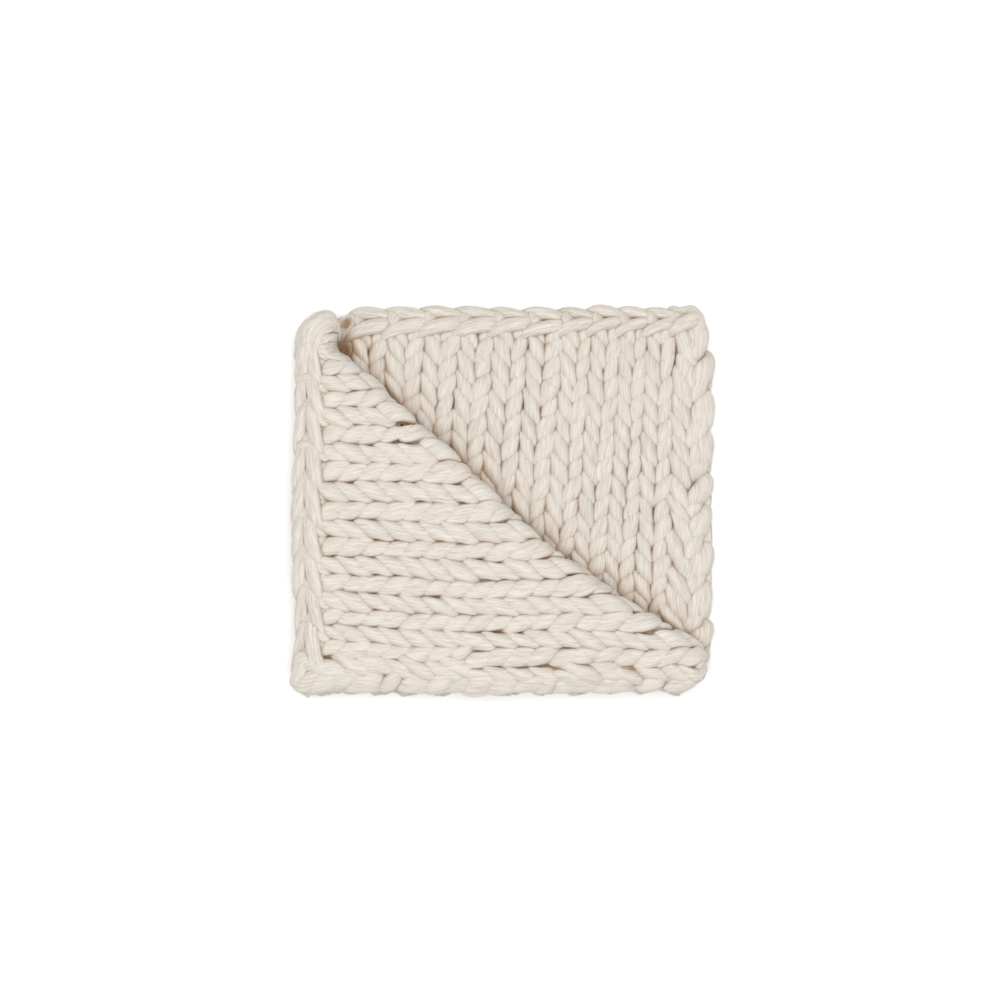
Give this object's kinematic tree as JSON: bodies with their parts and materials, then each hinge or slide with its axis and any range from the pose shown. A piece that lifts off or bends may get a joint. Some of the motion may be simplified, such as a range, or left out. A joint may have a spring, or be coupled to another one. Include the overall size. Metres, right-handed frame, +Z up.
{
  "type": "chunky knit blanket",
  "caption": "Folded chunky knit throw of thick unspun wool, one corner turned back over itself so the knit face shows twice.",
  "frame": {"origin": "middle of the folded outline, on the surface that the throw lies on", "axes": "+X from the folded side to the free side edge of the lower half, +Y towards its bound-off edge, +Z up"},
  "size_m": [0.7738, 0.7302, 0.1159],
  "materials": {
    "wool": "soft unspun ivory merino wool, matt, with fine fibre streaks along the yarn"
  },
  "bodies": {
    "root": {"throw": "wool"}
  },
  "joints": []
}
